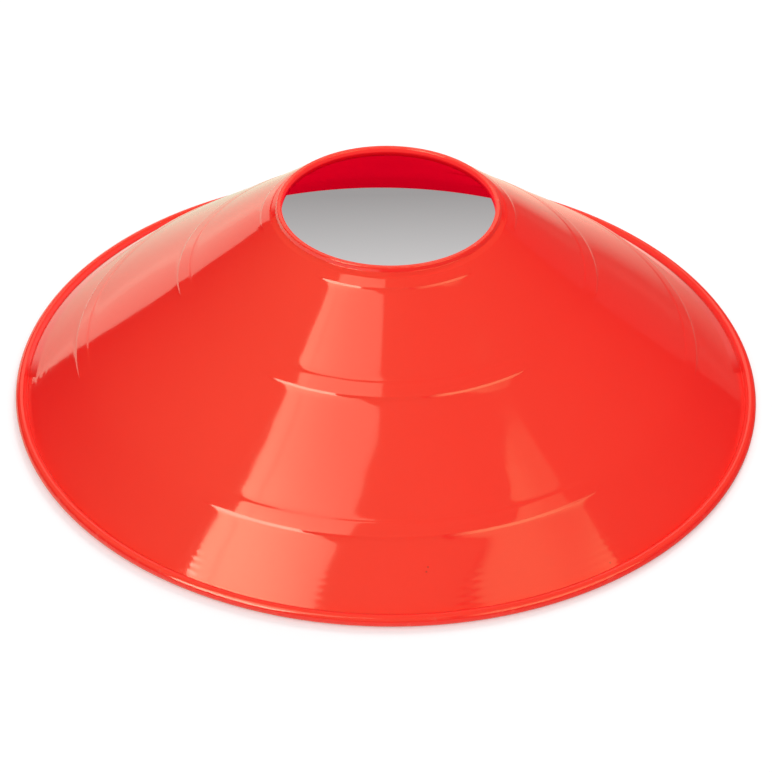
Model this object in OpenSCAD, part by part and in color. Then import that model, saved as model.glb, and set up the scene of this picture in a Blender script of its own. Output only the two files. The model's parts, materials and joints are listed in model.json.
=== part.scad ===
// Sports marker cone: a low saucer cone, moulded in one piece from soft plastic.
// The origin is on the ground in the middle of the cone, +Z goes up the axis of the cone,
// and the front group of steps faces -Y. Sizes are in millimetres.

/* [Cone] */
// Diameter over the rim bead
outer_d = 190; // [184:1:230]
// Height from the ground to the flat top of the lip
height = 54; // [50:0.5:64]
// Wall thickness, measured square to the long wall
wall = 1.5; // [1.2:0.1:1.8]

/* [Mouth] */
// Diameter of the hole at the top
bore_d = 52.6; // [48:0.2:54]
// Width of the flat top of the lip
lip_w = 1.5; // [1.2:0.1:1.8]
// Height of the straight wall inside the mouth
lip_h = 1.7; // [1.2:0.1:2.4]
// Height of the lip's flat top over the top of the long wall
lip_rise = 0.85; // [0.4:0.05:1.2]

/* [Rim] */
// Radius of the round bead along the rim
bead_r = 1.45; // [1.3:0.05:1.7]
// Radius of the bead's lower outer edge
foot_r = 0.5; // [0.3:0.05:0.8]
// Height at which the skirt meets the bead
seat_h = 1.8; // [1.6:0.1:2]
// Height of the bend between the long wall and the steeper skirt
knee_h = 13.5; // [12:0.1:15]

/* [Steps] */
// Radial width of the upper step, from the lip to the outer edge of its ledge
upper_step_w = 3.5; // [2.8:0.1:5]
// Share of the long wall that lies above the outer edge of the middle ledge
middle_step_share = 0.479; // [0.35:0.005:0.65]
// Radial width of the skirt, from the outer edge of the lower ledge to the bead
skirt_w = 13.35; // [12:0.25:18]
// Radial width of the middle and lower ledges
ledge_w = 3.1; // [2:0.1:4]
// Height of a ledge's outer edge over the wall, square to it
ledge_h = 0.22; // [0.16:0.02:0.36]
// Radial width of the short slope under a ledge's outer edge
riser_w = 0.4; // [0.3:0.05:0.7]
// Angle at which the ledges run out to nothing at their tips
tip_angle = 2.5; // [1.5:0.1:4]
// Angle that the front group spans
front_span = 71; // [60:1:90]
// Angle that each side group spans
side_span = 84; // [60:1:90]
// Direction of the middle of the left group
left_at = 148; // [145:1:152]
// Direction of the middle of the right group
right_at = 27.5; // [24:0.5:31]

/* [Hidden] */
$fn = 180;

// Overrun of a cut past the surface that it opens
over = 1;
// Colour of the plastic
plastic = [0.98, 0.24, 0.17];
// Direction of the middle of the front group
front_at = 270;
// Width of the wall's own surface left between the lip and the upper ledge
lip_land = 0.2;
// Directions and spans of the groups of steps
groups = [[front_at, front_span], [left_at, side_span], [right_at, side_span]];

outer_r = outer_d / 2;
bore_r = bore_d / 2;
mouth_r = bore_r + lip_w;
seat_r = outer_r - 2 * bead_r;

// Outer radii of the three ledges. The wall bends at the lower one.
upper_step_r = mouth_r + upper_step_w;
lower_step_r = seat_r - skirt_w;
middle_step_r = mouth_r + middle_step_share * (lower_step_r - mouth_r);

// Slopes of the long wall and of the skirt below it, as drop over run
wall_top = height - lip_rise;
wall_drop = wall_top - knee_h;
wall_run = lower_step_r - mouth_r;
skirt_drop = knee_h - seat_h;
wall_angle = atan2(wall_drop, wall_run);
// Height through the wall, straight up
through = wall / cos(wall_angle);

// Height of the outside of the long wall at a radius, and its radius at a height
function wall_z(r) = wall_top - (r - mouth_r) * wall_drop / wall_run;
function wall_r(z) = mouth_r + (wall_top - z) * wall_run / wall_drop;
// Height and radius of the outside of the skirt, in the same way
function skirt_z(r) = seat_h + (seat_r - r) * skirt_drop / skirt_w;
function skirt_r(z) = seat_r + (seat_h - z) * skirt_w / skirt_drop;

// Outside of the long wall and skirt as one turned solid, from one height to another
module wall_body(low, top) {
    rotate_extrude()
        polygon([
            [0, low],
            [skirt_r(low), low],
            [lower_step_r, knee_h],
            [wall_r(top), top],
            [0, top]
        ]);
}

// Section of one ledge. It leaves the wall at its inner edge, stands highest at its outer
// edge, and comes back down a short slope to the wall or skirt below.
// Both lines run on a little way into the solid wall.
module ledge_section(inner_r, edge_r) {
    foot_r = edge_r + riser_w;
    inner = [inner_r, wall_z(inner_r)];
    edge = [edge_r, wall_z(edge_r) + ledge_h / cos(wall_angle)];
    foot = [foot_r, edge_r < lower_step_r ? wall_z(foot_r) : skirt_z(foot_r)];
    // Shares of the two lines that lie in the wall
    inner_in_share = 0.05;
    foot_in_share = 0.3;
    start = inner - inner_in_share * (edge - inner);
    finish = foot + foot_in_share * (foot - edge);
    polygon([start, edge, finish, finish - [0, over], start - [0, over]]);
}

// All that lies under a plane through one straight line down the wall.
// The plane turns about that line, so the ledges run out on it.
module under_tip_plane(at, turn) {
    apex_z = wall_top + mouth_r * wall_drop / wall_run;
    translate([0, 0, apex_z])
        rotate([0, 0, at])
            rotate([0, wall_angle, 0])
                rotate([turn, 0, 0])
                    translate([0, -outer_d, -outer_d])
                        cube([outer_d, 2 * outer_d, outer_d]);
}

// The ledges of one group, revolved through its span and run out at both tips
module group_ledges(at, span) {
    ledges = [
        [mouth_r + lip_land, upper_step_r],
        [middle_step_r - ledge_w, middle_step_r],
        [lower_step_r - ledge_w, lower_step_r]
    ];
    intersection() {
        rotate([0, 0, at - span / 2])
            rotate_extrude(angle = span)
                for (l = ledges)
                    ledge_section(l[0], l[1]);
        under_tip_plane(at - span / 2, tip_angle);
        under_tip_plane(at + span / 2, -tip_angle);
    }
}

// Wall body with the ledges on it
module stepped_body(low, top) {
    wall_body(low, top);
    for (g = groups)
        group_ledges(g[0], g[1]);
}

// Bead along the rim, with a flat foot
module rim_bead() {
    foot_top_r = outer_r - foot_r;
    rotate_extrude() {
        translate([outer_r - bead_r, bead_r])
            circle(r = bead_r);
        translate([foot_top_r, foot_r])
            circle(r = foot_r);
        translate([seat_r, foot_r])
            square([2 * bead_r, bead_r - foot_r]);
        translate([seat_r, 0])
            square([2 * bead_r - foot_r, foot_r]);
    }
}

// Shell of the cone: the outside, less the same form one wall lower
module cone_shell() {
    color(plastic)
        difference() {
            union() {
                stepped_body(0, wall_top + lip_rise / 2);
                translate([0, 0, wall_top - over])
                    cylinder(h = lip_rise + over, r = mouth_r);
                rim_bead();
            }
            translate([0, 0, -through])
                stepped_body(through - over, height - lip_h + through);
            translate([0, 0, height - lip_h - over])
                cylinder(h = lip_h + 2 * over, r = bore_r);
        }
}

cone_shell();
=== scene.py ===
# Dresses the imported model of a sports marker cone: its moulded shell, and the studio around it.
# Sizes at the top are in millimetres and angles in degrees, where a name ends in mm or deg.
import json
import math

import bpy
from bpy.props import FloatProperty, FloatVectorProperty, IntProperty, PointerProperty
from mathutils import Matrix, Vector


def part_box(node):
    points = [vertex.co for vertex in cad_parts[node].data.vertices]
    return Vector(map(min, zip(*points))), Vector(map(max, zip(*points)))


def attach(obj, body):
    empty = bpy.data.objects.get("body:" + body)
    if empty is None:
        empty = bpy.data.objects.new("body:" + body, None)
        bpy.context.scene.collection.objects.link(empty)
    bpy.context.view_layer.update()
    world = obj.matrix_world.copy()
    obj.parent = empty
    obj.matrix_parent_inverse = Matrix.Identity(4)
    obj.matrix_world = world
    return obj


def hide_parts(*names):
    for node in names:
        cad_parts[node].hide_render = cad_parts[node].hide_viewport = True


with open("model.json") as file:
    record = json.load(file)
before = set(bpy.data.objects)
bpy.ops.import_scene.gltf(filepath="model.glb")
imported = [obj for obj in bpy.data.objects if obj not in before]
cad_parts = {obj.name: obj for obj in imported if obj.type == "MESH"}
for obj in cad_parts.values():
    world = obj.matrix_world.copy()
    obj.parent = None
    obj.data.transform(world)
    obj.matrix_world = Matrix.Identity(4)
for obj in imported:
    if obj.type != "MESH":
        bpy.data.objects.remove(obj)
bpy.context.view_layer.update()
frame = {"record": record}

bl_info = {
    "name": "Marker Cone",
    "version": (1, 0, 0),
    "blender": (4, 5, 0),
    "location": "3D View > Sidebar > Marker Cone",
    "description": "Builds the stepped, glossy shell of a sports marker cone and a studio for it",
    "category": "Object",
}

MM = 0.001
CAD_NODE = "cone_shell"
SHELL_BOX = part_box(CAD_NODE)

# Section of the shell. The wall's thickness is measured straight up.
WALL_THROUGH_MM = 1.9
BEAD_MM = 1.45
SEAT_HEIGHT_MM = 1.75
FOOT_ROUND_MM = 1.4
# Distance from the rim of the first point of the flat foot
FOOT_EDGE_MM = 1.5
# Points of the foot's inner edge: distance outwards from the end of the inside, and height
FOOT_INNER_EDGE_MM = ((0.3, 0.0), (0.08, 0.05))
# The same for the first point of the inside
INSIDE_START_MM = (-0.05, 0.14)
# Distance from the bore at which the inside of the wall ends, and its rounded edge there
INSIDE_END_MM = 0.3
INSIDE_EDGE_MM = (0.08, 0.1)
# Depths below the lip's flat top between which the bore has its points
BORE_DEPTHS_MM = (1.55, 0.6)
LIP_INNER_ROUND_MM = 0.38
LIP_OUTER_ROUND_MM = 0.35
LIP_SIDE_DRAFT_DEG = 16
# Shares of the way down the lip's outer side at which it has points
LIP_SIDE_SHARES = (0.3, 0.6, 0.85)
# Drop over run of the outside, by radius in millimetres. It bends smoothly into the skirt.
WALL_SLOPES = (
    (27.8, 0.5), (29.0, 0.5), (29.3, 0.787), (50.0, 0.787), (54.0, 0.765), (60.0, 0.755),
    (70.0, 0.765), (76.0, 0.80), (79.0, 0.86), (84.0, 0.889), (92.1, 0.893),
)
# Radii at which the section gets its points: the plain spacing outside and inside, and the
# distances from a ledge's inner line and outer edge at which it gets more
PLAIN_STEP_MM = 2.0
INSIDE_STEP_MM = 2.6
NEAR_INNER_LINE_MM = (
    -1.5, -1.0, -0.6, -0.3, -0.1, 0, 0.05, 0.12, 0.2, 0.28, 0.35, 0.42, 0.55, 0.8, 1.2,
)
NEAR_OUTER_EDGE_MM = (
    -0.8, -0.4, -0.2, -0.08, 0, 0.03, 0.07, 0.12, 0.18, 0.24, 0.3, 0.36, 0.44, 0.56, 0.75,
    1.0, 1.3, 1.6,
)
NEAR_CREASE_MM = (1.4, 0.8, 0.4, 0.18, 0.06)
INSIDE_NEAR_MM = (-0.8, 0, 0.35, 0.9)


def rim_radius():
    """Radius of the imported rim, in metres: the least of its reaches along X and Y."""
    low, high = SHELL_BOX
    return min(-low[0], -low[1], high[0], high[1])


def mouth_radius():
    """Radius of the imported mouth, from its mount, in metres."""
    for mount in frame["record"]["mounts"]:
        if mount["name"] == "mouth_bore":
            return mount["dims"]["r_mm"] * MM
    raise RuntimeError("the packed record has no mouth_bore mount")


class ShellSizes(bpy.types.PropertyGroup):
    """Main sizes of the turned shell."""

    rim_radius: FloatProperty(
        name="Rim Radius", description="Outer radius of the bead along the rim",
        default=rim_radius(), min=0.08, max=0.12, precision=5, unit="LENGTH",
    )
    height: FloatProperty(
        name="Height", description="Height of the lip's flat top",
        default=SHELL_BOX[1][2], min=0.04, max=0.07, precision=5, unit="LENGTH",
    )
    mouth_radius: FloatProperty(
        name="Mouth Radius", description="Radius of the hole at the top",
        default=mouth_radius(), min=0.02, max=0.03, precision=5, unit="LENGTH",
    )
    lip_foot_radius: FloatProperty(
        name="Lip Foot Radius", description="Radius at which the lip's outer side meets the wall",
        default=27.85 * MM, min=0.027, max=0.03, precision=5, unit="LENGTH",
    )
    segments: IntProperty(
        name="Segments",
        description="Columns of faces round the shell, few enough for 200,000 triangles",
        default=448, min=90, max=454,
    )


class LedgeSizes(bpy.types.PropertyGroup):
    """Sizes and places of the raised crescent ledges."""

    height: FloatProperty(
        name="Ledge Height", description="Height of a ledge's outer edge over the wall",
        default=0.28 * MM, min=0, max=0.001, precision=6, unit="LENGTH",
    )
    inner_lines: FloatVectorProperty(
        name="Inner Lines", description="Radii of the upper, middle and lower inner lines",
        size=3, default=(28.9 * MM, 49.1 * MM, 75.65 * MM), precision=5, unit="LENGTH",
    )
    outer_edges: FloatVectorProperty(
        name="Outer Edges", description="Radii of the upper, middle and lower outer edges",
        size=3, default=(31.3 * MM, 52.3 * MM, 78.75 * MM), precision=5, unit="LENGTH",
    )
    strip_width: FloatProperty(
        name="Strip Width", description="Width of the flatter strip along an inner line",
        default=0.45 * MM, min=0.0001, max=0.001, precision=6, unit="LENGTH",
    )
    fillet_width: FloatProperty(
        name="Fillet Width", description="Width over which the wall rises to an inner line",
        default=1.5 * MM, min=0.0005, max=0.003, precision=6, unit="LENGTH",
    )
    riser_width: FloatProperty(
        name="Riser Width", description="Width of the short slope below an outer edge",
        default=0.36 * MM, min=0.0001, max=0.003, precision=6, unit="LENGTH",
    )
    foot_width: FloatProperty(
        name="Foot Width", description="Width of the soft hollow in which the riser ends",
        default=1.9 * MM, min=0.0005, max=0.003, precision=6, unit="LENGTH",
    )
    tip_angle: FloatProperty(
        name="Tip Angle", description="Angle over which a ledge runs out to nothing",
        default=math.radians(6.5), min=0.01, max=0.3, unit="ROTATION",
    )
    directions: FloatVectorProperty(
        name="Group Directions", description="Directions of the middles of the three groups",
        size=3, default=(math.radians(270), math.radians(148), math.radians(27.5)),
        unit="ROTATION",
    )
    spans: FloatVectorProperty(
        name="Group Spans", description="Angles that the three groups span",
        size=3, default=(math.radians(73), math.radians(84), math.radians(84)),
        unit="ROTATION",
    )


class PlasticFinish(bpy.types.PropertyGroup):
    """Colours and gloss of the moulded plastic, with its painted shade and painted glow."""

    outside: FloatVectorProperty(
        name="Outside Colour", description="Colour of the outside",
        size=3, subtype="COLOR", min=0, max=1, default=(0.95, 0.0248, 0.0193),
    )
    # Painted shade: a deeper red than the outside, for the inside's shadow and red
    # inter-reflection
    inside: FloatVectorProperty(
        name="Inside Colour", description="Deeper colour of the inside",
        size=3, subtype="COLOR", min=0, max=1, default=(0.95, 0.004, 0.012),
    )
    scuff: FloatVectorProperty(
        name="Scuff Colour", description="Paler colour of rubbed places on the bead and lip",
        size=3, subtype="COLOR", min=0, max=1, default=(0.95, 0.12, 0.08),
    )
    speck: FloatVectorProperty(
        name="Speck Colour", description="Colour of the few dark specks in the plastic",
        size=3, subtype="COLOR", min=0, max=1, default=(0.25, 0.02, 0.015),
    )
    # Painted glow: emission on the mouth's face, for light that the thin wall passes on
    painted_bore_glow: FloatVectorProperty(
        name="Bore Glow", description="Light that the thin wall passes on at the mouth's face",
        size=3, subtype="COLOR", min=0, max=1, default=(0.32, 0.022, 0.02),
    )
    roughness: FloatProperty(
        name="Roughness", description="Roughness of the clean plastic",
        default=0.055, min=0, max=1, subtype="FACTOR",
    )
    glow_depth: FloatProperty(
        name="Glow Depth", description="Distance that red light travels in the plastic",
        default=2.0 * MM, min=0, max=0.01, precision=5, unit="LENGTH",
    )


class StudioSettings(bpy.types.PropertyGroup):
    """Camera, lamps and reflected panels of the studio."""

    lens: FloatProperty(
        name="Lens", description="Focal length of the camera",
        default=118.76, min=20, max=400, unit="CAMERA",
    )
    camera_place: FloatVectorProperty(
        name="Camera Place", description="Where the camera stands",
        size=3, default=(-0.03592, -0.52521, 0.39579), precision=5,
        subtype="TRANSLATION", unit="LENGTH",
    )
    camera_target: FloatVectorProperty(
        name="Camera Target", description="Point that the camera looks at",
        size=3, default=(0, 0, -0.00195), precision=5, subtype="TRANSLATION", unit="LENGTH",
    )
    camera_roll: FloatProperty(
        name="Camera Roll", description="Turn of the camera about its line of sight",
        default=math.radians(0.804), unit="ROTATION",
    )
    floor_colour: FloatVectorProperty(
        name="Floor Colour", description="Colour of the pale floor",
        size=3, subtype="COLOR", min=0, max=1, default=(0.8, 0.8, 0.8),
    )
    floor_glow: FloatProperty(
        name="Floor Glow", description="Light that the floor adds towards the camera",
        default=0.21, min=0, max=1,
    )
    fill_level: FloatProperty(
        name="Fill Level", description="Strength of the even light from all round",
        default=0.625, min=0, max=2,
    )
    # Painted shadow: levels that the camera sees on the floor under the shell, in place of lit
    # paint
    painted_under_front: FloatProperty(
        name="Under Front", description="Grey of the floor under the shell, at its front",
        default=0.62, min=0, max=1,
    )
    painted_under_back: FloatProperty(
        name="Under Back", description="Grey of the floor under the shell, at its back",
        default=0.33, min=0, max=1,
    )
    # Painted glow: red light on the floor under the shell, seen in reflections alone, for light
    # through the plastic
    painted_red_glow: FloatProperty(
        name="Under Glow", description="Red light under the shell, as its inside mirrors it",
        default=1.45, min=0, max=2,
    )
    painted_glow_colour: FloatVectorProperty(
        name="Under Colour", description="Colour of the light under the shell",
        size=3, subtype="COLOR", min=0, max=1, default=(1.0, 0.0, 0.027),
    )
    front_lamp_power: FloatProperty(
        name="Front Lamp Power", description="Power of the large soft lamp above the front",
        default=8.2, min=0, max=200, unit="POWER",
    )
    left_lamp_power: FloatProperty(
        name="Left Lamp Power", description="Power of the soft lamp on the left",
        default=0.1, min=0, max=200, unit="POWER",
    )
    right_lamp_power: FloatProperty(
        name="Right Lamp Power", description="Power of the soft lamp on the right",
        default=3.7, min=0, max=200, unit="POWER",
    )
    back_lamp_power: FloatProperty(
        name="Back Lamp Power", description="Power of the lamp that shades the floor in front",
        default=5.0, min=0, max=200, unit="POWER",
    )
    key_level: FloatProperty(
        name="Key Panel Level", description="Brightness of the front left panel in reflections",
        default=6.7, min=0, max=20,
    )
    side_level: FloatProperty(
        name="Side Panel Level", description="Brightness of the right panel in reflections",
        default=1.7, min=0, max=20,
    )
    low_level: FloatProperty(
        name="Low Panel Level", description="Brightness of the low front panel in reflections",
        default=10.0, min=0, max=40,
    )
    rim_card_level: FloatProperty(
        name="Rim Card Level", description="Brightness of the cards along the rim's back",
        default=0.8, min=0, max=5,
    )
    backdrop_level: FloatProperty(
        name="Backdrop Level", description="Brightness of the white backdrop in reflections",
        default=1.35, min=0, max=20,
    )
    high_level: FloatProperty(
        name="High Sheet Level", description="Brightness of the sheet that the lip's top mirrors",
        default=1.2, min=0, max=20,
    )
    room_level: FloatProperty(
        name="Room Level", description="Brightness of the dim room in reflections",
        default=0.8, min=0, max=5,
    )


class Wire:
    """A socket that takes part in Python sums, each of which adds a Math node."""

    def __init__(self, graph, socket):
        self.graph = graph
        self.socket = socket

    def __add__(self, other):
        return self.graph.maths("ADD", self, other)

    def __radd__(self, other):
        return self.graph.maths("ADD", other, self)

    def __sub__(self, other):
        return self.graph.maths("SUBTRACT", self, other)

    def __rsub__(self, other):
        return self.graph.maths("SUBTRACT", other, self)

    def __mul__(self, other):
        return self.graph.maths("MULTIPLY", self, other)

    def __truediv__(self, other):
        return self.graph.maths("DIVIDE", self, other)

    def __pow__(self, other):
        return self.graph.maths("POWER", self, other)

    def __abs__(self):
        return self.graph.maths("ABSOLUTE", self)


class Graph:
    """A node tree of either kind, with short ways to add nodes and links."""

    def __init__(self, tree):
        self.tree = tree

    def node(self, kind, settings=None, values=None, output=0):
        """Adds a node. Its settings come first, then its sockets' values or links."""
        made = self.tree.nodes.new(kind)
        for name, value in (settings or {}).items():
            setattr(made, name, value)
        for key, value in (values or {}).items():
            self.feed(made.inputs[key], value)
        return Wire(self, made.outputs[output])

    def feed(self, socket, value):
        """Links a wire to a socket, or sets the socket's own value."""
        if isinstance(value, Wire):
            self.tree.links.new(value.socket, socket)
        else:
            socket.default_value = value

    def maths(self, operation, *values, clamp=False):
        """One Math node."""
        settings = {"operation": operation, "use_clamp": clamp}
        return self.node("ShaderNodeMath", settings, dict(enumerate(values)))

    def clamp(self, value):
        """A value held between 0 and 1."""
        return self.maths("ADD", value, 0.0, clamp=True)

    def ramp(self, value, start, end, low=0.0, high=1.0, smooth=False):
        """A value mapped from start..end to low..high, and held there."""
        settings = {"interpolation_type": "SMOOTHSTEP" if smooth else "LINEAR", "clamp": True}
        values = {0: value, 1: start, 2: end, 3: low, 4: high}
        return self.node("ShaderNodeMapRange", settings, values)

    def parts(self, vector):
        """The three numbers of a vector."""
        split = self.node("ShaderNodeSeparateXYZ", values={0: vector}).socket.node
        return [Wire(self, socket) for socket in split.outputs]

    def mix(self, share, first, second, blend="MIX"):
        """Mixes two colours by a share from 0 to 1."""
        settings = {"data_type": "RGBA", "blend_type": blend, "clamp_factor": True}
        return self.node("ShaderNodeMix", settings, {0: share, 6: first, 7: second}, output=2)

    def surface(self, kind, shader):
        """Ends the tree in an output node that shows a shader."""
        self.feed(self.tree.nodes.new(kind).inputs["Surface"], shader)


def blank_material(name):
    """A new material, and the graph of its empty tree."""
    material = bpy.data.materials.new(name)
    material.use_nodes = True
    material.node_tree.nodes.clear()
    return material, Graph(material.node_tree)


def opaque(colour):
    """A colour with full alpha, as a colour socket takes it."""
    return (colour[0], colour[1], colour[2], 1.0)


def link_object(name, data):
    """A new object at the origin, in the scene."""
    made = bpy.data.objects.new(name, data)
    bpy.context.scene.collection.objects.link(made)
    return made


def spread(start, end, count):
    """Numbers from start to end, both counted, evenly apart."""
    return [start + (end - start) * step / (count - 1) for step in range(count)]


def arc_points(centre_x, centre_z, radius, start_deg, end_deg, count):
    """Points of an arc of the section."""
    return [
        (centre_x + radius * math.cos(math.radians(turn)),
         centre_z + radius * math.sin(math.radians(turn)))
        for turn in spread(start_deg, end_deg, count)
    ]


def slope_at(radius_mm):
    """Drop over run of the wall at a radius."""
    table = WALL_SLOPES
    for (near, first), (far, second) in zip(table, table[1:]):
        if radius_mm <= far:
            share = max(0.0, (radius_mm - near) / (far - near))
            return first + (second - first) * share
    return table[-1][1]


def wall_height(radius_mm, seat_mm, step=0.05):
    """Height of the plain outside of the wall at a radius, summed up from the bead."""
    count = max(1, math.ceil(abs(seat_mm - radius_mm) / step))
    width = (seat_mm - radius_mm) / count
    middles = (radius_mm + (index + 0.5) * width for index in range(count))
    return SEAT_HEIGHT_MM + sum(slope_at(middle) * width for middle in middles)


def wall_radii(ledges, start, end, step, near_inner, near_outer):
    """Radii at which the wall gets points: evenly apart, and closer near the ledges.

    A plain point is left out where a closer one lies within 0.6 of the plain spacing.
    """
    close = []
    for inner, outer in zip(ledges.inner_lines, ledges.outer_edges):
        close += [inner / MM + offset for offset in near_inner]
        close += [outer / MM + offset for offset in near_outer]
    close += [end - offset for offset in NEAR_CREASE_MM]
    close = [radius for radius in close if start < radius < end - 0.01]
    count = round((end - start) / step) + 1
    plain = [
        radius for radius in spread(start, end, count)[1:-1]
        if min(abs(radius - other) for other in close) > step * 0.6
    ]
    return [start] + sorted(close + plain) + [end]


def shell_section(sizes, ledges):
    """The shell's closed section without its ledges: points and a mark for the inside."""
    rim = sizes.rim_radius / MM
    top = sizes.height / MM
    bore = sizes.mouth_radius / MM
    lip_foot = sizes.lip_foot_radius / MM
    seat = rim - 2 * BEAD_MM

    # Lip: up the bore, over its rounded top and down its drafted outer side
    inner_round_x = bore + LIP_INNER_ROUND_MM
    outer_round_z = top - LIP_OUTER_ROUND_MM
    draft = math.radians(LIP_SIDE_DRAFT_DEG)
    foot_height = wall_height(lip_foot, seat)
    side_drop = outer_round_z + LIP_OUTER_ROUND_MM * math.sin(draft) - foot_height
    outer_round_x = lip_foot - side_drop * math.tan(draft) - LIP_OUTER_ROUND_MM * math.cos(draft)
    lowest, highest = BORE_DEPTHS_MM
    lip = [(bore, height) for height in spread(top - lowest, top - highest, 3)]
    lip += arc_points(inner_round_x, top - LIP_INNER_ROUND_MM, LIP_INNER_ROUND_MM, 180, 90, 7)
    lip += arc_points(outer_round_x, outer_round_z, LIP_OUTER_ROUND_MM, 90, LIP_SIDE_DRAFT_DEG, 6)
    side_x, side_z = lip[-1]
    lip += [
        (side_x + (lip_foot - side_x) * share, side_z + (foot_height - side_z) * share)
        for share in LIP_SIDE_SHARES
    ]

    # Outside of the wall, down to the bead
    radii = wall_radii(
        ledges, lip_foot, seat, PLAIN_STEP_MM, NEAR_INNER_LINE_MM, NEAR_OUTER_EDGE_MM
    )
    outside = [(radius, wall_height(radius, seat)) for radius in radii]

    # Bead, and its flat foot
    crease = math.degrees(math.asin((SEAT_HEIGHT_MM - BEAD_MM) / BEAD_MM))
    bead = arc_points(rim - BEAD_MM, BEAD_MM, BEAD_MM, 180 - crease, 0, 19)[1:]
    bead += arc_points(rim - FOOT_ROUND_MM, FOOT_ROUND_MM, FOOT_ROUND_MM, 0, -90, 9)

    # Inside: one wall lower, from the foot up to the bore
    foot_inner = seat + (SEAT_HEIGHT_MM - WALL_THROUGH_MM) / slope_at(seat)
    radii = wall_radii(
        ledges, bore + INSIDE_END_MM, foot_inner, INSIDE_STEP_MM, INSIDE_NEAR_MM, INSIDE_NEAR_MM
    )
    inside = [(radius, wall_height(radius, seat) - WALL_THROUGH_MM) for radius in reversed(radii)]
    out, rise = INSIDE_EDGE_MM
    end = (bore + out, inside[-1][1] + rise)
    out, height = INSIDE_START_MM
    inside = [(foot_inner + out, height)] + inside[1:] + [end]
    foot = [(rim - FOOT_EDGE_MM, 0.0)]
    foot += [(foot_inner + out, height) for out, height in FOOT_INNER_EDGE_MM]

    outer_chain = lip + outside + bead + foot
    points = outer_chain + inside
    marks = [0.0] * len(outer_chain) + [1.0] * len(inside)
    return points, marks


def section_mesh(sizes, ledges, middle_radius):
    """The section as a closed loop of edges, laid flat for the sweep."""
    points, marks = shell_section(sizes, ledges)
    vertices = [(x * MM - middle_radius, -z * MM, 0.0) for x, z in points]
    count = len(vertices)
    edges = [(index, (index + 1) % count) for index in range(count)]
    mesh = bpy.data.meshes.new("shell section")
    mesh.from_pydata(vertices, edges, [])
    inside = mesh.attributes.new("inside", "FLOAT", "POINT")
    inside.data.foreach_set("value", marks)
    return mesh


# Shares of a ledge's height that its fillet, its flatter strip and the ledge itself rise
FILLET_RISE = 0.18
STRIP_RISE = 0.35
LEDGE_RISE = 0.47
# Power of the ledges' height towards their tips, and the least width of a riser there
TIP_POWER = 0.6
LEAST_WIDTH = 0.06


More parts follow.
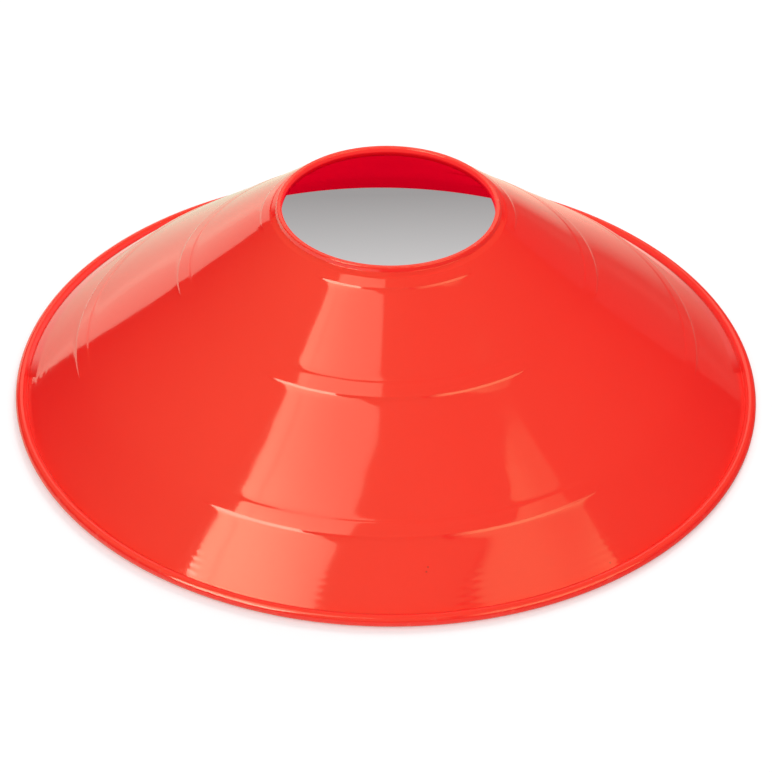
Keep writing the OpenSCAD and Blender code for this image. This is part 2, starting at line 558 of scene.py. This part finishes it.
def ledge_tree():
    """Sweeps the section round the axis and raises the ledges of the three groups."""
    tree = bpy.data.node_groups.new("Stepped shell", "GeometryNodeTree")
    interface = tree.interface
    interface.new_socket("Section", in_out="INPUT", socket_type="NodeSocketGeometry")
    interface.new_socket("Segments", in_out="INPUT", socket_type="NodeSocketInt")
    lengths = ["Middle Radius", "Ledge Height", "Strip Width", "Fillet Width", "Riser Width"]
    lengths += ["Foot Width", "Tip Angle"]
    lengths += [f"Inner Line {number}" for number in (1, 2, 3)]
    lengths += [f"Outer Edge {number}" for number in (1, 2, 3)]
    angles = [f"{word} {number}" for number in (1, 2, 3) for word in ("Direction", "Span")]
    for name in lengths + angles:
        interface.new_socket(name, in_out="INPUT", socket_type="NodeSocketFloat")
    interface.new_socket("Material", in_out="INPUT", socket_type="NodeSocketMaterial")
    interface.new_socket("Shell", in_out="OUTPUT", socket_type="NodeSocketGeometry")

    graph = Graph(tree)
    inputs = tree.nodes.new("NodeGroupInput")
    given = {socket.name: Wire(graph, socket) for socket in inputs.outputs if socket.name}

    # The section, swept round a circle
    circle = graph.node(
        "GeometryNodeCurvePrimitiveCircle", {"mode": "RADIUS"},
        {"Resolution": given["Segments"], "Radius": given["Middle Radius"]},
    )
    upright = graph.node("GeometryNodeSetCurveNormal", {"mode": "Z_UP"}, {"Curve": circle})
    section = graph.node("GeometryNodeMeshToCurve", values={"Mesh": given["Section"]})
    swept = graph.node(
        "GeometryNodeCurveToMesh", values={"Curve": upright, "Profile Curve": section}
    )

    # Share of the ledges' height by direction: full within a group, nothing past its tips
    place = graph.node("GeometryNodeInputPosition")
    x, y = graph.parts(place)[:2]
    radius = (x * x + y * y) ** 0.5
    direction = graph.maths("ARCTAN2", y, x)
    presence = 0.0
    for number in (1, 2, 3):
        turn = direction - given[f"Direction {number}"]
        turn = abs(graph.maths("WRAP", turn, math.pi, -math.pi))
        to_tip = (given[f"Span {number}"] * 0.5 - turn) / given["Tip Angle"]
        presence = graph.maths("MAXIMUM", graph.clamp(to_tip) ** TIP_POWER, presence)

    # Height of the ledges by radius: a soft fillet, a flatter strip, the ledge, its riser and
    # the hollow at its foot. Riser and hollow get narrower towards the tips.
    narrow = graph.maths("MAXIMUM", presence, LEAST_WIDTH)
    raised = 0.0
    for number in (1, 2, 3):
        inner = given[f"Inner Line {number}"]
        outer = given[f"Outer Edge {number}"]
        strip_end = inner + given["Strip Width"]
        strip = graph.ramp(radius, inner, strip_end) * STRIP_RISE
        ledge = graph.ramp(radius, strip_end, outer) * LEDGE_RISE
        rise = strip + ledge
        if number > 1:
            fillet = graph.ramp(radius, inner - given["Fillet Width"], inner)
            rise = rise + fillet ** 3.0 * FILLET_RISE
        past = (radius - outer) / narrow
        riser = 1.0 - graph.clamp(past / given["Riser Width"])
        hollow = 1.0 - graph.clamp(past / given["Foot Width"])
        raised = rise * (riser * 0.5 + hollow ** 3.0 * 0.5) + raised
    lift = raised * presence * given["Ledge Height"]
    offset = graph.node("ShaderNodeCombineXYZ", values={"Z": lift})
    stepped = graph.node(
        "GeometryNodeSetPosition", values={"Geometry": swept, "Offset": offset}
    )

    smooth = graph.node(
        "GeometryNodeSetShadeSmooth", values={"Geometry": stepped, "Shade Smooth": True}
    )
    real = graph.node("GeometryNodeRealizeInstances", values={"Geometry": smooth})
    painted = graph.node(
        "GeometryNodeSetMaterial", values={"Geometry": real, "Material": given["Material"]}
    )
    result = tree.nodes.new("NodeGroupOutput")
    graph.feed(result.inputs["Shell"], painted)
    return tree


def signed_volume(mesh):
    """Volume inside a closed mesh, which is negative where its faces point inwards."""
    mesh.calc_loop_triangles()
    places = [vertex.co for vertex in mesh.vertices]
    total = 0.0
    for triangle in mesh.loop_triangles:
        first, second, third = (places[index] for index in triangle.vertices)
        total += first.dot(second.cross(third)) / 6
    return total


def swept_mesh(name, section, values):
    """The plain mesh that the tree makes of the section."""
    holder = link_object(name, section)
    modifier = holder.modifiers.new("Stepped shell", "NODES")
    modifier.node_group = ledge_tree()
    for item in modifier.node_group.interface.items_tree:
        if item.name in values:
            modifier[item.identifier] = values[item.name]
    depsgraph = bpy.context.evaluated_depsgraph_get()
    evaluated = holder.evaluated_get(depsgraph)
    mesh = bpy.data.meshes.new_from_object(evaluated, depsgraph=depsgraph)
    if not mesh.polygons:
        raise RuntimeError("the tree made no faces")
    holder.modifiers.remove(modifier)
    if signed_volume(mesh) < 0:
        mesh.flip_normals()
    holder.data = mesh
    mesh.name = name
    return holder


# Directions in degrees and radii in millimetres of the three dark specks on the skirt
SPECKS = ((273.1, 84.0), (272.8, 84.8), (301.9, 91.0))
SPECK_RADIUS = 0.3 * MM
# Shares of the specks' colour in a speck, and of the scuffs' colour where it is rubbed
SPECK_SHARE = 0.45
SCUFF_SHARE = 0.35
# Deepest relief of the surface, and the shares of it that each kind of mark has
RELIEF = 0.1 * MM
WAVE_SHARE = 0.6
PEEL_SHARE = 0.006
RIPPLE_SHARE = 0.02
SCRATCH_SHARE = 0.006
# Distance between the moulding ripples near the rim, and the radii over which they start
RIPPLE_PITCH = 1.3 * MM
RIPPLE_START_MM = (83, 88)
# Depths below the lip at which the bore's painted glow starts to end, and has given way to
# the inside's painted shade, its deeper red
BORE_FADE_MM = (1.05, 1.35)


def plastic_material(finish, sizes):
    """Glossy moulded polyethylene: even colour, slight mottling, rubbed edges, fine relief.

    The inside carries painted shade as a deeper red, and the bore a painted glow.
    """
    material, graph = blank_material("glossy moulded plastic")
    place = graph.node("ShaderNodeTexCoord", output="Object")
    x, y, z = graph.parts(place)
    radius = (x * x + y * y) ** 0.5
    inside = graph.node("ShaderNodeAttribute", {"attribute_name": "inside"}, output="Fac")

    def noise(scale, detail=2.0, stretch=None):
        """Noise from 0 to 1 over the piece, stretched along an axis where asked."""
        where = place
        if stretch:
            where = graph.node("ShaderNodeMapping", values={"Vector": place, "Scale": stretch})
        return graph.node(
            "ShaderNodeTexNoise", {"noise_dimensions": "3D"},
            {"Vector": where, "Scale": scale, "Detail": detail, "Roughness": 0.55},
        )

    # The inside's painted shade, its deeper red, starts on the bore, a little below the lip
    fade_top, fade_end = [sizes.height - depth * MM for depth in BORE_FADE_MM]
    bore = sizes.mouth_radius
    low_bore = graph.ramp(radius, bore + 0.2 * MM, bore + 0.1 * MM)
    low_bore = low_bore * graph.ramp(z, fade_top, fade_end)
    inside = graph.maths("MAXIMUM", inside, low_bore)

    # Colour: cloudy pigment, rubbed bead and lip, three specks, and painted shade as a deeper
    # inside
    cloud = noise(38.0, 3.0)
    grain = noise(900.0, 2.0)
    tone = 0.965 + cloud * 0.05 + grain * 0.02
    base = graph.mix(inside, opaque(finish.outside), opaque(finish.inside))
    base = graph.mix(1.0, base, graph.node(
        "ShaderNodeCombineXYZ", values={0: tone, 1: tone, 2: tone}), "MULTIPLY")
    rim = sizes.rim_radius
    on_bead = graph.ramp(radius, rim - 1.2 * MM, rim - 0.1 * MM)
    on_lip = graph.ramp(z, sizes.height - 0.35 * MM, sizes.height)
    rubbed = graph.ramp(noise(420.0, 4.0), 0.56, 0.72) * graph.maths("MAXIMUM", on_bead, on_lip)
    base = graph.mix(rubbed * SCUFF_SHARE, base, opaque(finish.scuff))
    spotted = 0.0
    seat = rim / MM - 2 * BEAD_MM
    for direction, reach in SPECKS:
        turn = math.radians(direction)
        spot = Vector((reach * math.cos(turn), reach * math.sin(turn), wall_height(reach, seat)))
        spot *= MM
        gap = graph.node(
            "ShaderNodeVectorMath", {"operation": "DISTANCE"}, {0: place, 1: spot},
            output="Value",
        )
        spotted = graph.maths(
            "MAXIMUM", graph.ramp(gap, SPECK_RADIUS, SPECK_RADIUS * 0.5), spotted
        )
    base = graph.mix(spotted * SPECK_SHARE, base, opaque(finish.speck))

    # Painted glow: emission high on the bore, standing in for light that the thin wall passes on
    painted_glow_on_bore = graph.ramp(radius, bore + 0.3 * MM, bore + 0.05 * MM)
    painted_glow_on_bore = painted_glow_on_bore * graph.ramp(z, fade_end, fade_top)
    glow = graph.mix(painted_glow_on_bore, (0.0, 0.0, 0.0, 1.0), opaque(finish.painted_bore_glow))

    # Gloss: cleaner on the wall, duller where it is rubbed and on the inside
    smear = graph.ramp(noise(60.0, 3.0, (1.0, 1.0, 0.35)), 0.45, 0.8)
    roughness = finish.roughness + smear * 0.02 + rubbed * 0.2 + inside * 0.25

    # Relief: long waves, moulding ripples near the rim, and hairline scratches
    wave = noise(70.0, 1.0) * WAVE_SHARE
    peel = noise(1400.0, 1.0) * PEEL_SHARE
    start, full = RIPPLE_START_MM
    near_rim = graph.ramp(radius, start * MM, full * MM, smooth=True)
    ripple = graph.maths("SINE", radius * (math.tau / RIPPLE_PITCH) + noise(60.0) * 9.0)
    scratch_line = noise(240.0, 2.0, (1.0, 9.0, 1.0))
    scratch = 1.0 - graph.ramp(abs(scratch_line - 0.5), 0.0, 0.006)
    height = wave + peel + ripple * near_rim * RIPPLE_SHARE + scratch * -SCRATCH_SHARE
    bump = graph.node(
        "ShaderNodeBump", values={"Strength": 1.0, "Distance": RELIEF, "Height": height}
    )

    shader = graph.node("ShaderNodeBsdfPrincipled", values={
        "Base Color": base,
        "Roughness": roughness,
        "Normal": bump,
        "Emission Color": glow,
        "Emission Strength": 1.0,
        "IOR": 1.51,
        "Subsurface Weight": 0.2,
        "Subsurface Radius": (1.0, 0.08, 0.05),
        "Subsurface Scale": finish.glow_depth,
    })
    graph.surface("ShaderNodeOutputMaterial", shader)
    return material


class MARKER_CONE_OT_shell(bpy.types.Operator):
    """Builds the turned shell with its ledges, lip and bead, and dresses it in plastic."""

    bl_idname = "marker_cone.shell"
    bl_label = "Build Shell"

    def execute(self, context):
        scene = context.scene
        sizes = scene.shell_sizes
        ledges = scene.ledge_sizes
        middle_radius = (sizes.rim_radius + sizes.mouth_radius) / 2
        values = {
            "Segments": sizes.segments,
            "Middle Radius": middle_radius,
            "Ledge Height": ledges.height,
            "Strip Width": ledges.strip_width,
            "Fillet Width": ledges.fillet_width,
            "Riser Width": ledges.riser_width,
            "Foot Width": ledges.foot_width,
            "Tip Angle": ledges.tip_angle,
            "Material": plastic_material(scene.plastic_finish, sizes),
        }
        for index in range(3):
            number = index + 1
            values[f"Inner Line {number}"] = ledges.inner_lines[index]
            values[f"Outer Edge {number}"] = ledges.outer_edges[index]
            values[f"Direction {number}"] = ledges.directions[index]
            values[f"Span {number}"] = ledges.spans[index]
        shell = swept_mesh(
            "moulded_shell", section_mesh(sizes, ledges, middle_radius), values
        )
        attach(shell, "root")
        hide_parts(CAD_NODE)
        return {"FINISHED"}


def toward(azimuth_deg, elevation_deg, distance):
    """The point at a direction and distance from the origin. Azimuth 0 is +X."""
    turn = math.radians(azimuth_deg)
    rise = math.radians(elevation_deg)
    level = math.cos(rise)
    return Vector((level * math.cos(turn), level * math.sin(turn), math.sin(rise))) * distance


def glow_material(name, colour, level):
    """Light of one colour, scaled by the panel's own edge attribute."""
    material, graph = blank_material(name)
    edge = graph.node("ShaderNodeAttribute", {"attribute_name": "glow"}, output="Fac")
    light = graph.node(
        "ShaderNodeEmission", values={"Color": opaque(colour), "Strength": edge * level}
    )
    graph.surface("ShaderNodeOutputMaterial", light)
    return material


def only_in_reflections(made):
    """Leaves an object to be seen in reflections and nowhere else."""
    made.visible_camera = False
    made.visible_diffuse = False
    made.visible_transmission = False
    made.visible_volume_scatter = False
    made.visible_shadow = False
    made.visible_glossy = True


def soft_step(value, start, end):
    """From 0 at start to 1 at end, with soft ends. Start may lie above end."""
    share = min(1.0, max(0.0, (value - start) / (end - start)))
    return share * share * (3 - 2 * share)


def between(rows, height):
    """The row of directions at an elevation, from rows of (elevation, left, right)."""
    for low, high in zip(rows, rows[1:]):
        if height <= high[0]:
            share = (height - low[0]) / (high[0] - low[0])
            return [low[side] + (high[side] - low[side]) * share for side in (1, 2)]
    return rows[-1][1:]


def light_sheet(name, vertices, columns, glow, colour, level):
    """A sheet of light through rows of points, seen in reflections alone."""
    width = columns + 1
    faces = [
        (first, first + 1, first + width + 1, first + width)
        for row in range(len(vertices) // width - 1)
        for first in range(row * width, row * width + columns)
    ]
    mesh = bpy.data.meshes.new(name)
    mesh.from_pydata(vertices, [], faces)
    mesh.attributes.new("glow", "FLOAT", "POINT").data.foreach_set("value", glow)
    mesh.materials.append(glow_material(name, colour, level))
    made = link_object(name, mesh)
    only_in_reflections(made)


def panel(name, rows, distance, colour, level, shade, cells=56):
    """A panel of light on a sphere round the object, seen in reflections alone.

    Each row gives an elevation and the azimuths of the panel's two sides there. The shade
    gives the share of the level at a share across, an azimuth and an elevation.
    """
    vertices = []
    glow = []
    for elevation in spread(rows[0][0], rows[-1][0], cells + 1):
        left, right = between(rows, elevation)
        for azimuth in spread(left, right, cells + 1):
            across = (azimuth - left) / (right - left)
            vertices.append(toward(azimuth, elevation, distance))
            glow.append(shade(across, azimuth, elevation))
    light_sheet(name, vertices, cells, glow, colour, level)


def key_shade(across, azimuth, elevation):
    """Brightest low on the left, with a dimmer strip past a seam along the left side."""
    up = soft_step(elevation, 46.0, 67.0)
    low = 1.0 - 0.5 * across ** 2
    high = 0.5 - 0.12 * across
    seam = 1.0 - 0.22 * soft_step(abs(across - 0.16), 0.03, 0.0) * soft_step(elevation, 66, 60)
    return (low + (high - low) * up) * seam


def side_shade(across, azimuth, elevation):
    """Fades out to the left and at the bottom, and is brighter low down."""
    low = 1.0 + 1.2 * soft_step(elevation, 42.0, 34.0)
    right = 1.0 - 0.3 * soft_step(across, 0.55, 0.95)
    return soft_step(across, 0.0, 0.25) * soft_step(elevation, 12.0, 24.0) * low * right


def even_shade(across, azimuth, elevation):
    """The same everywhere."""
    return 1.0


def high_shade(across, azimuth, elevation):
    """Fades out at all four sides."""
    sides = soft_step(across, 0.0, 0.25) * soft_step(across, 1.0, 0.75)
    return sides * soft_step(elevation, 27.0, 33.0) * soft_step(elevation, 49.0, 43.0)


def behind_shade(across, azimuth, elevation):
    """Even on the left, fading out to the right and at the top."""
    side = 0.1 + 0.9 * soft_step(azimuth, 58.0, 96.0)
    return side * soft_step(elevation, 22.0, 15.0)


def room_shade(across, azimuth, elevation):
    """Dark low down and brighter overhead, but less dark low down in front."""
    left = math.cos(math.radians(azimuth - 200.0))
    front = max(0.0, math.cos(math.radians(azimuth + 90.0))) ** 2
    low_front = 0.4 * front * soft_step(elevation, 54.0, 30.0)
    return soft_step(elevation, 2.0, 58.0) * (0.9 + 0.2 * left) + low_front


# Rows of the panels: elevation, and the azimuths of the two sides, in degrees
KEY_ROWS = (
    (42.0, 201.0, 242.0), (46.0, 201.5, 242.5), (51.0, 200.5, 243.0),
    (55.0, 199.5, 247.5), (61.5, 198.8, 251.4), (64.6, 198.5, 254.9), (66.4, 198.0, 261.0),
    (71.0, 197.0, 263.0), (75.0, 197.0, 262.0),
)
LOW_ROWS = ((18.0, 206.0, 236.0), (42.0, 201.0, 242.0))
SIDE_ROWS = (
    (15.0, 284.0, 342.5), (38.0, 286.0, 342.5), (46.0, 288.0, 342.5), (50.0, 291.0, 344.2),
    (51.0, 305.0, 344.2), (54.0, 325.0, 338.0), (54.8, 328.0, 331.0),
)
BACKDROP_ROWS = (
    (-1.5, 40.0, 129.2), (6.0, 40.0, 129.0), (10.0, 40.0, 128.4), (24.0, 40.0, 128.4),
)
HIGH_ROWS = ((27.0, 58.0, 122.0), (49.0, 58.0, 122.0))
ROOM_ROWS = ((-89.0, -180.0, 180.0), (89.5, -180.0, 180.0))
# Colour in which the plastic mirrors the white sheet behind and beside the object
SHEET_TINT = (0.9, 1.0, 0.77)
ROOM_TINT = (1.0, 1.0, 0.42)
PANEL_DISTANCE = 2.0
ROOM_DISTANCE = 3.0
# Panels: name, rows, colour as the plastic mirrors it, the setting for the level, and shade
PANELS = (
    ("key panel", KEY_ROWS, (1.0, 1.0, 0.60), "key_level", key_shade),
    ("side panel", SIDE_ROWS, (1.0, 1.0, 0.45), "side_level", side_shade),
    ("low panel", LOW_ROWS, (1.1, 1.0, 0.7), "low_level", even_shade),
    ("backdrop", BACKDROP_ROWS, SHEET_TINT, "backdrop_level", behind_shade),
    ("high sheet", HIGH_ROWS, (1.0, 1.0, 0.7), "high_level", high_shade),
)
# Cards along the bead: directions of the front and back ends, share of light in the front
# part, and the colour in which the plastic mirrors them
RIM_CARDS = (
    (178.0, 95.0, 1.0, (1.25, 1.0, 0.85)),
    (-2.0, 85.0, 0.35, (2.0, 1.0, 0.85)),
)
# Heights of a card's lower and upper edges, and the height at which its full light starts
CARD_HEIGHTS_MM = (1.85, 3.75)
CARD_FULL_MM = 2.1
# Distance of the cards from the bead's inner edge
CARD_GAP_MM = 0.05


def rim_card(front_end, back_end, front_share, tint, radius, level, rows=8, columns=96):
    """A low white card along the bead, seen in reflections alone.

    The wall near the rim mirrors it at a glancing angle in place of the bead. It fades out
    at its front end and its lower edge, and gives only a share of its light in its front part.
    """
    vertices = []
    glow = []
    low, high = CARD_HEIGHTS_MM
    for height in spread(low * MM, high * MM, rows + 1):
        for azimuth in spread(front_end, back_end, columns + 1):
            turn = math.radians(azimuth)
            vertices.append((radius * math.cos(turn), radius * math.sin(turn), height))
            reach = abs(azimuth - front_end)
            fade = front_share + (1.0 - front_share) * soft_step(reach, 16.0, 52.0)
            fade *= soft_step(reach, 0.0, 6.0)
            glow.append(soft_step(height / MM, low, CARD_FULL_MM) * fade)
    light_sheet("rim card", vertices, columns, glow, tint, level)


def seen_rays(graph):
    """1 for rays from the camera or sent on by gloss or glass, and then 1 for gloss alone."""
    path = graph.node("ShaderNodeLightPath").socket.node
    rays = [Wire(graph, path.outputs[f"Is {kind} Ray"])
            for kind in ("Camera", "Glossy", "Transmission")]
    return graph.maths("MAXIMUM", graph.maths("MAXIMUM", rays[0], rays[1]), rays[2]), rays[1]


# Radii over which the floor turns into the floor under the shell
UNDER_EDGE_MM = (93.8, 93.4)
# Distances behind the middle over which the painted shadow under the shell darkens
UNDER_SHADOW_MM = (44, 88)
# Soft right edge of the sheet that reflections show: where it lies across X, how far it
# leans with Y, and the sheet's level on the left and right of it
SHEET_EDGE_MM = (-20, 130)
SHEET_LEAN = 0.25
SHEET_LEFT = 1.38
SHEET_RIGHT = 0.17
# Share of that level at the rim, a painted shadow, and what it gains over two distances from the
# axis
PAINTED_SHADOW_AT_RIM = 0.64
SHEET_GAINS = ((94, 120, 0.08), (120, 500, 0.38))
# Red of the sheet's colour far out on the left, and what it gains on the right, near the
# rim, and near the rim on the right; the gains near the rim are painted red bounce light
SHEET_RED = 0.78
RED_ON_RIGHT = 0.18
PAINTED_BOUNCE_NEAR_RIM = 0.1
PAINTED_BOUNCE_NEAR_RIGHT_RIM = 0.64
RED_RIGHT_MM = (-40, 60)
RED_RIM_MM = (165, 105)
# Share of the floor's paint that is left out under the shell, where painted shadow and a painted
# red glow take its place
UNDER_BARE = 0.92


def floor_material(settings):
    """Pale floor that reads as white to the camera and keeps the object's shadow.

    In reflections it is bright on the left, dims softly past the object's right side, and
    near the rim is darker and redder, a painted shadow and painted red bounce light.
    Under the shell, the camera sees a plain painted shadow that darkens towards the back, and
    the shell's own inside mirrors a painted red glow there, seen in reflections alone, that
    stands in for the red light that comes through the plastic.
    """
    material, graph = blank_material("pale floor")
    seen, glossy = seen_rays(graph)
    place = graph.node("ShaderNodeTexCoord", output="Object")
    x, y = graph.parts(place)[:2]
    radius = (x * x + y * y) ** 0.5

    def over(value, ends_mm, low=0.0, high=1.0, smooth=False):
        """A distance mapped from its ends in millimetres to low..high."""
        start, end = ends_mm
        return graph.ramp(value, start * MM, end * MM, low, high, smooth)

    under = over(radius, UNDER_EDGE_MM)

    # Camera: an even share of glow on top of the lit paint, and a painted shadow under the shell
    painted_shadow = over(y, UNDER_SHADOW_MM, settings.painted_under_front, settings.painted_under_back)
    camera_level = settings.floor_glow + (painted_shadow - settings.floor_glow) * under

    # Reflections: from bright to dim across the sheet's soft right edge, dimmer near the rim as a
    # painted shadow
    edge = over(x - y * SHEET_LEAN, SHEET_EDGE_MM, smooth=True)
    near = PAINTED_SHADOW_AT_RIM
    for start, end, gain in SHEET_GAINS:
        near = near + over(radius, (start, end)) * gain
    mirror_level = (SHEET_LEFT - edge * (SHEET_LEFT - SHEET_RIGHT)) * near
    # Under the shell, a painted red glow that the shell's inside mirrors
    mirror_level = mirror_level + (settings.painted_red_glow - mirror_level) * under
    level = camera_level + (mirror_level - camera_level) * glossy
    right = over(x, RED_RIGHT_MM)
    close = over(radius, RED_RIM_MM)
    red = SHEET_RED + right * RED_ON_RIGHT + close * (PAINTED_BOUNCE_NEAR_RIM + right * PAINTED_BOUNCE_NEAR_RIGHT_RIM)
    sheet = graph.node(
        "ShaderNodeCombineXYZ", values={0: red, 1: SHEET_TINT[1], 2: SHEET_TINT[2]}
    )
    mirrored = graph.mix(under, sheet, opaque(settings.painted_glow_colour))
    colour = graph.mix(glossy, (1.0, 1.0, 1.0, 1.0), mirrored)

    # Paint, which reflections don't show
    paint_share = (1.0 - under * UNDER_BARE) * (1.0 - glossy)
    paint = graph.node("ShaderNodeBsdfDiffuse", values={
        "Color": graph.mix(paint_share, (0.0, 0.0, 0.0, 1.0), opaque(settings.floor_colour)),
    })
    glow = graph.node("ShaderNodeEmission", values={"Color": colour, "Strength": seen * level})
    both = graph.node("ShaderNodeAddShader", values={0: paint, 1: glow})
    graph.surface("ShaderNodeOutputMaterial", both)
    return material


def build_floor(settings):
    """A wide flat floor just under the object's foot."""
    reach = 6.0
    drop = -0.05 * MM
    mesh = bpy.data.meshes.new("floor")
    corners = [(-reach, -reach), (reach, -reach), (reach, reach), (-reach, reach)]
    mesh.from_pydata([(x, y, drop) for x, y in corners], [], [(0, 1, 2, 3)])
    mesh.materials.append(floor_material(settings))
    link_object("floor", mesh)


def build_world(settings):
    """White for the camera and reflections, and an even fill for everything else."""
    world = bpy.data.worlds.new("studio room")
    bpy.context.scene.world = world
    world.use_nodes = True
    world.node_tree.nodes.clear()
    graph = Graph(world.node_tree)
    seen = seen_rays(graph)[0]
    level = settings.fill_level + seen * (1.0 - settings.fill_level)
    light = graph.node("ShaderNodeBackground", values={
        "Color": (1.0, 1.0, 1.0, 1.0), "Strength": level,
    })
    graph.surface("ShaderNodeOutputWorld", light)


# Lamps: name, azimuth and elevation in degrees, size in metres, and the setting for the power
LAMPS = (
    ("front lamp", 262.0, 46.0, 1.2, "front_lamp_power"),
    ("left lamp", 200.0, 40.0, 0.8, "left_lamp_power"),
    ("right lamp", 72.0, 25.0, 0.8, "right_lamp_power"),
    ("back lamp", 65.0, 50.0, 0.4, "back_lamp_power"),
)
LAMP_DISTANCE = 1.5


def build_lamp(name, azimuth_deg, elevation_deg, size, power):
    """A large soft lamp that points at the object and stays out of its reflections."""
    data = bpy.data.lights.new(name, "AREA")
    data.shape = "SQUARE"
    data.size = size
    data.energy = power
    lamp = link_object(name, data)
    place = toward(azimuth_deg, elevation_deg, LAMP_DISTANCE)
    turn = (-place).to_track_quat("-Z", "Y").to_matrix().to_4x4()
    lamp.matrix_world = Matrix.Translation(place) @ turn
    lamp.visible_glossy = False
    lamp.visible_camera = False


def build_camera(settings):
    """The camera at the photograph's place."""
    data = bpy.data.cameras.new("camera")
    data.lens = settings.lens
    data.sensor_width = 36.0
    data.clip_start = 0.01
    data.clip_end = 50.0
    camera = link_object("camera", data)
    place = Vector(settings.camera_place)
    forward = (Vector(settings.camera_target) - place).normalized()
    right = forward.cross(Vector((0, 0, 1))).normalized()
    up = right.cross(forward)
    turn = settings.camera_roll
    rolled_right = right * math.cos(turn) + up * math.sin(turn)
    rolled_up = up * math.cos(turn) - right * math.sin(turn)
    axes = Matrix((rolled_right, rolled_up, -forward)).transposed().to_4x4()
    camera.matrix_world = Matrix.Translation(place) @ axes
    bpy.context.scene.camera = camera


class MARKER_CONE_OT_studio(bpy.types.Operator):
    """Builds the camera, the floor, the lamps and the panels that the plastic reflects."""

    bl_idname = "marker_cone.studio"
    bl_label = "Build Studio"

    def execute(self, context):
        scene = context.scene
        settings = scene.studio_settings
        build_camera(settings)
        build_floor(settings)
        build_world(settings)
        for name, azimuth_deg, elevation_deg, size, power in LAMPS:
            build_lamp(name, azimuth_deg, elevation_deg, size, getattr(settings, power))
        for name, rows, tint, level, shade in PANELS:
            panel(name, rows, PANEL_DISTANCE, tint, getattr(settings, level), shade)
        card_radius = scene.shell_sizes.rim_radius + (CARD_GAP_MM - 2 * BEAD_MM) * MM
        for card in RIM_CARDS:
            rim_card(*card, card_radius, settings.rim_card_level)
        panel("dim room", ROOM_ROWS, ROOM_DISTANCE, ROOM_TINT, settings.room_level, room_shade)
        scene.view_settings.view_transform = "Standard"
        return {"FINISHED"}


class MARKER_CONE_PT_tools(bpy.types.Panel):
    """Lists the steps that build the cone, with the sizes and colours that they use."""

    bl_idname = "MARKER_CONE_PT_tools"
    bl_label = "Marker Cone"
    bl_space_type = "VIEW_3D"
    bl_region_type = "UI"
    bl_category = "Marker Cone"

    def draw(self, context):
        layout = self.layout
        scene = context.scene
        for step in OPERATORS:
            layout.operator(step.bl_idname)
        for group in (scene.shell_sizes, scene.ledge_sizes, scene.plastic_finish,
                      scene.studio_settings):
            box = layout.box()
            for name in group.__annotations__:
                box.prop(group, name)


SETTINGS = {
    "shell_sizes": ShellSizes,
    "ledge_sizes": LedgeSizes,
    "plastic_finish": PlasticFinish,
    "studio_settings": StudioSettings,
}
OPERATORS = (MARKER_CONE_OT_shell, MARKER_CONE_OT_studio)


def register():
    for group in SETTINGS.values():
        bpy.utils.register_class(group)
    for name, group in SETTINGS.items():
        setattr(bpy.types.Scene, name, PointerProperty(type=group))
    for step in OPERATORS:
        bpy.utils.register_class(step)
    bpy.utils.register_class(MARKER_CONE_PT_tools)


def unregister():
    bpy.utils.unregister_class(MARKER_CONE_PT_tools)
    for step in reversed(OPERATORS):
        bpy.utils.unregister_class(step)
    for name in SETTINGS:
        delattr(bpy.types.Scene, name)
    for group in SETTINGS.values():
        bpy.utils.unregister_class(group)


def main():
    register()
    bpy.ops.marker_cone.shell()
    bpy.ops.marker_cone.studio()
    bpy.context.view_layer.update()


if __name__ == "__main__":
    main()
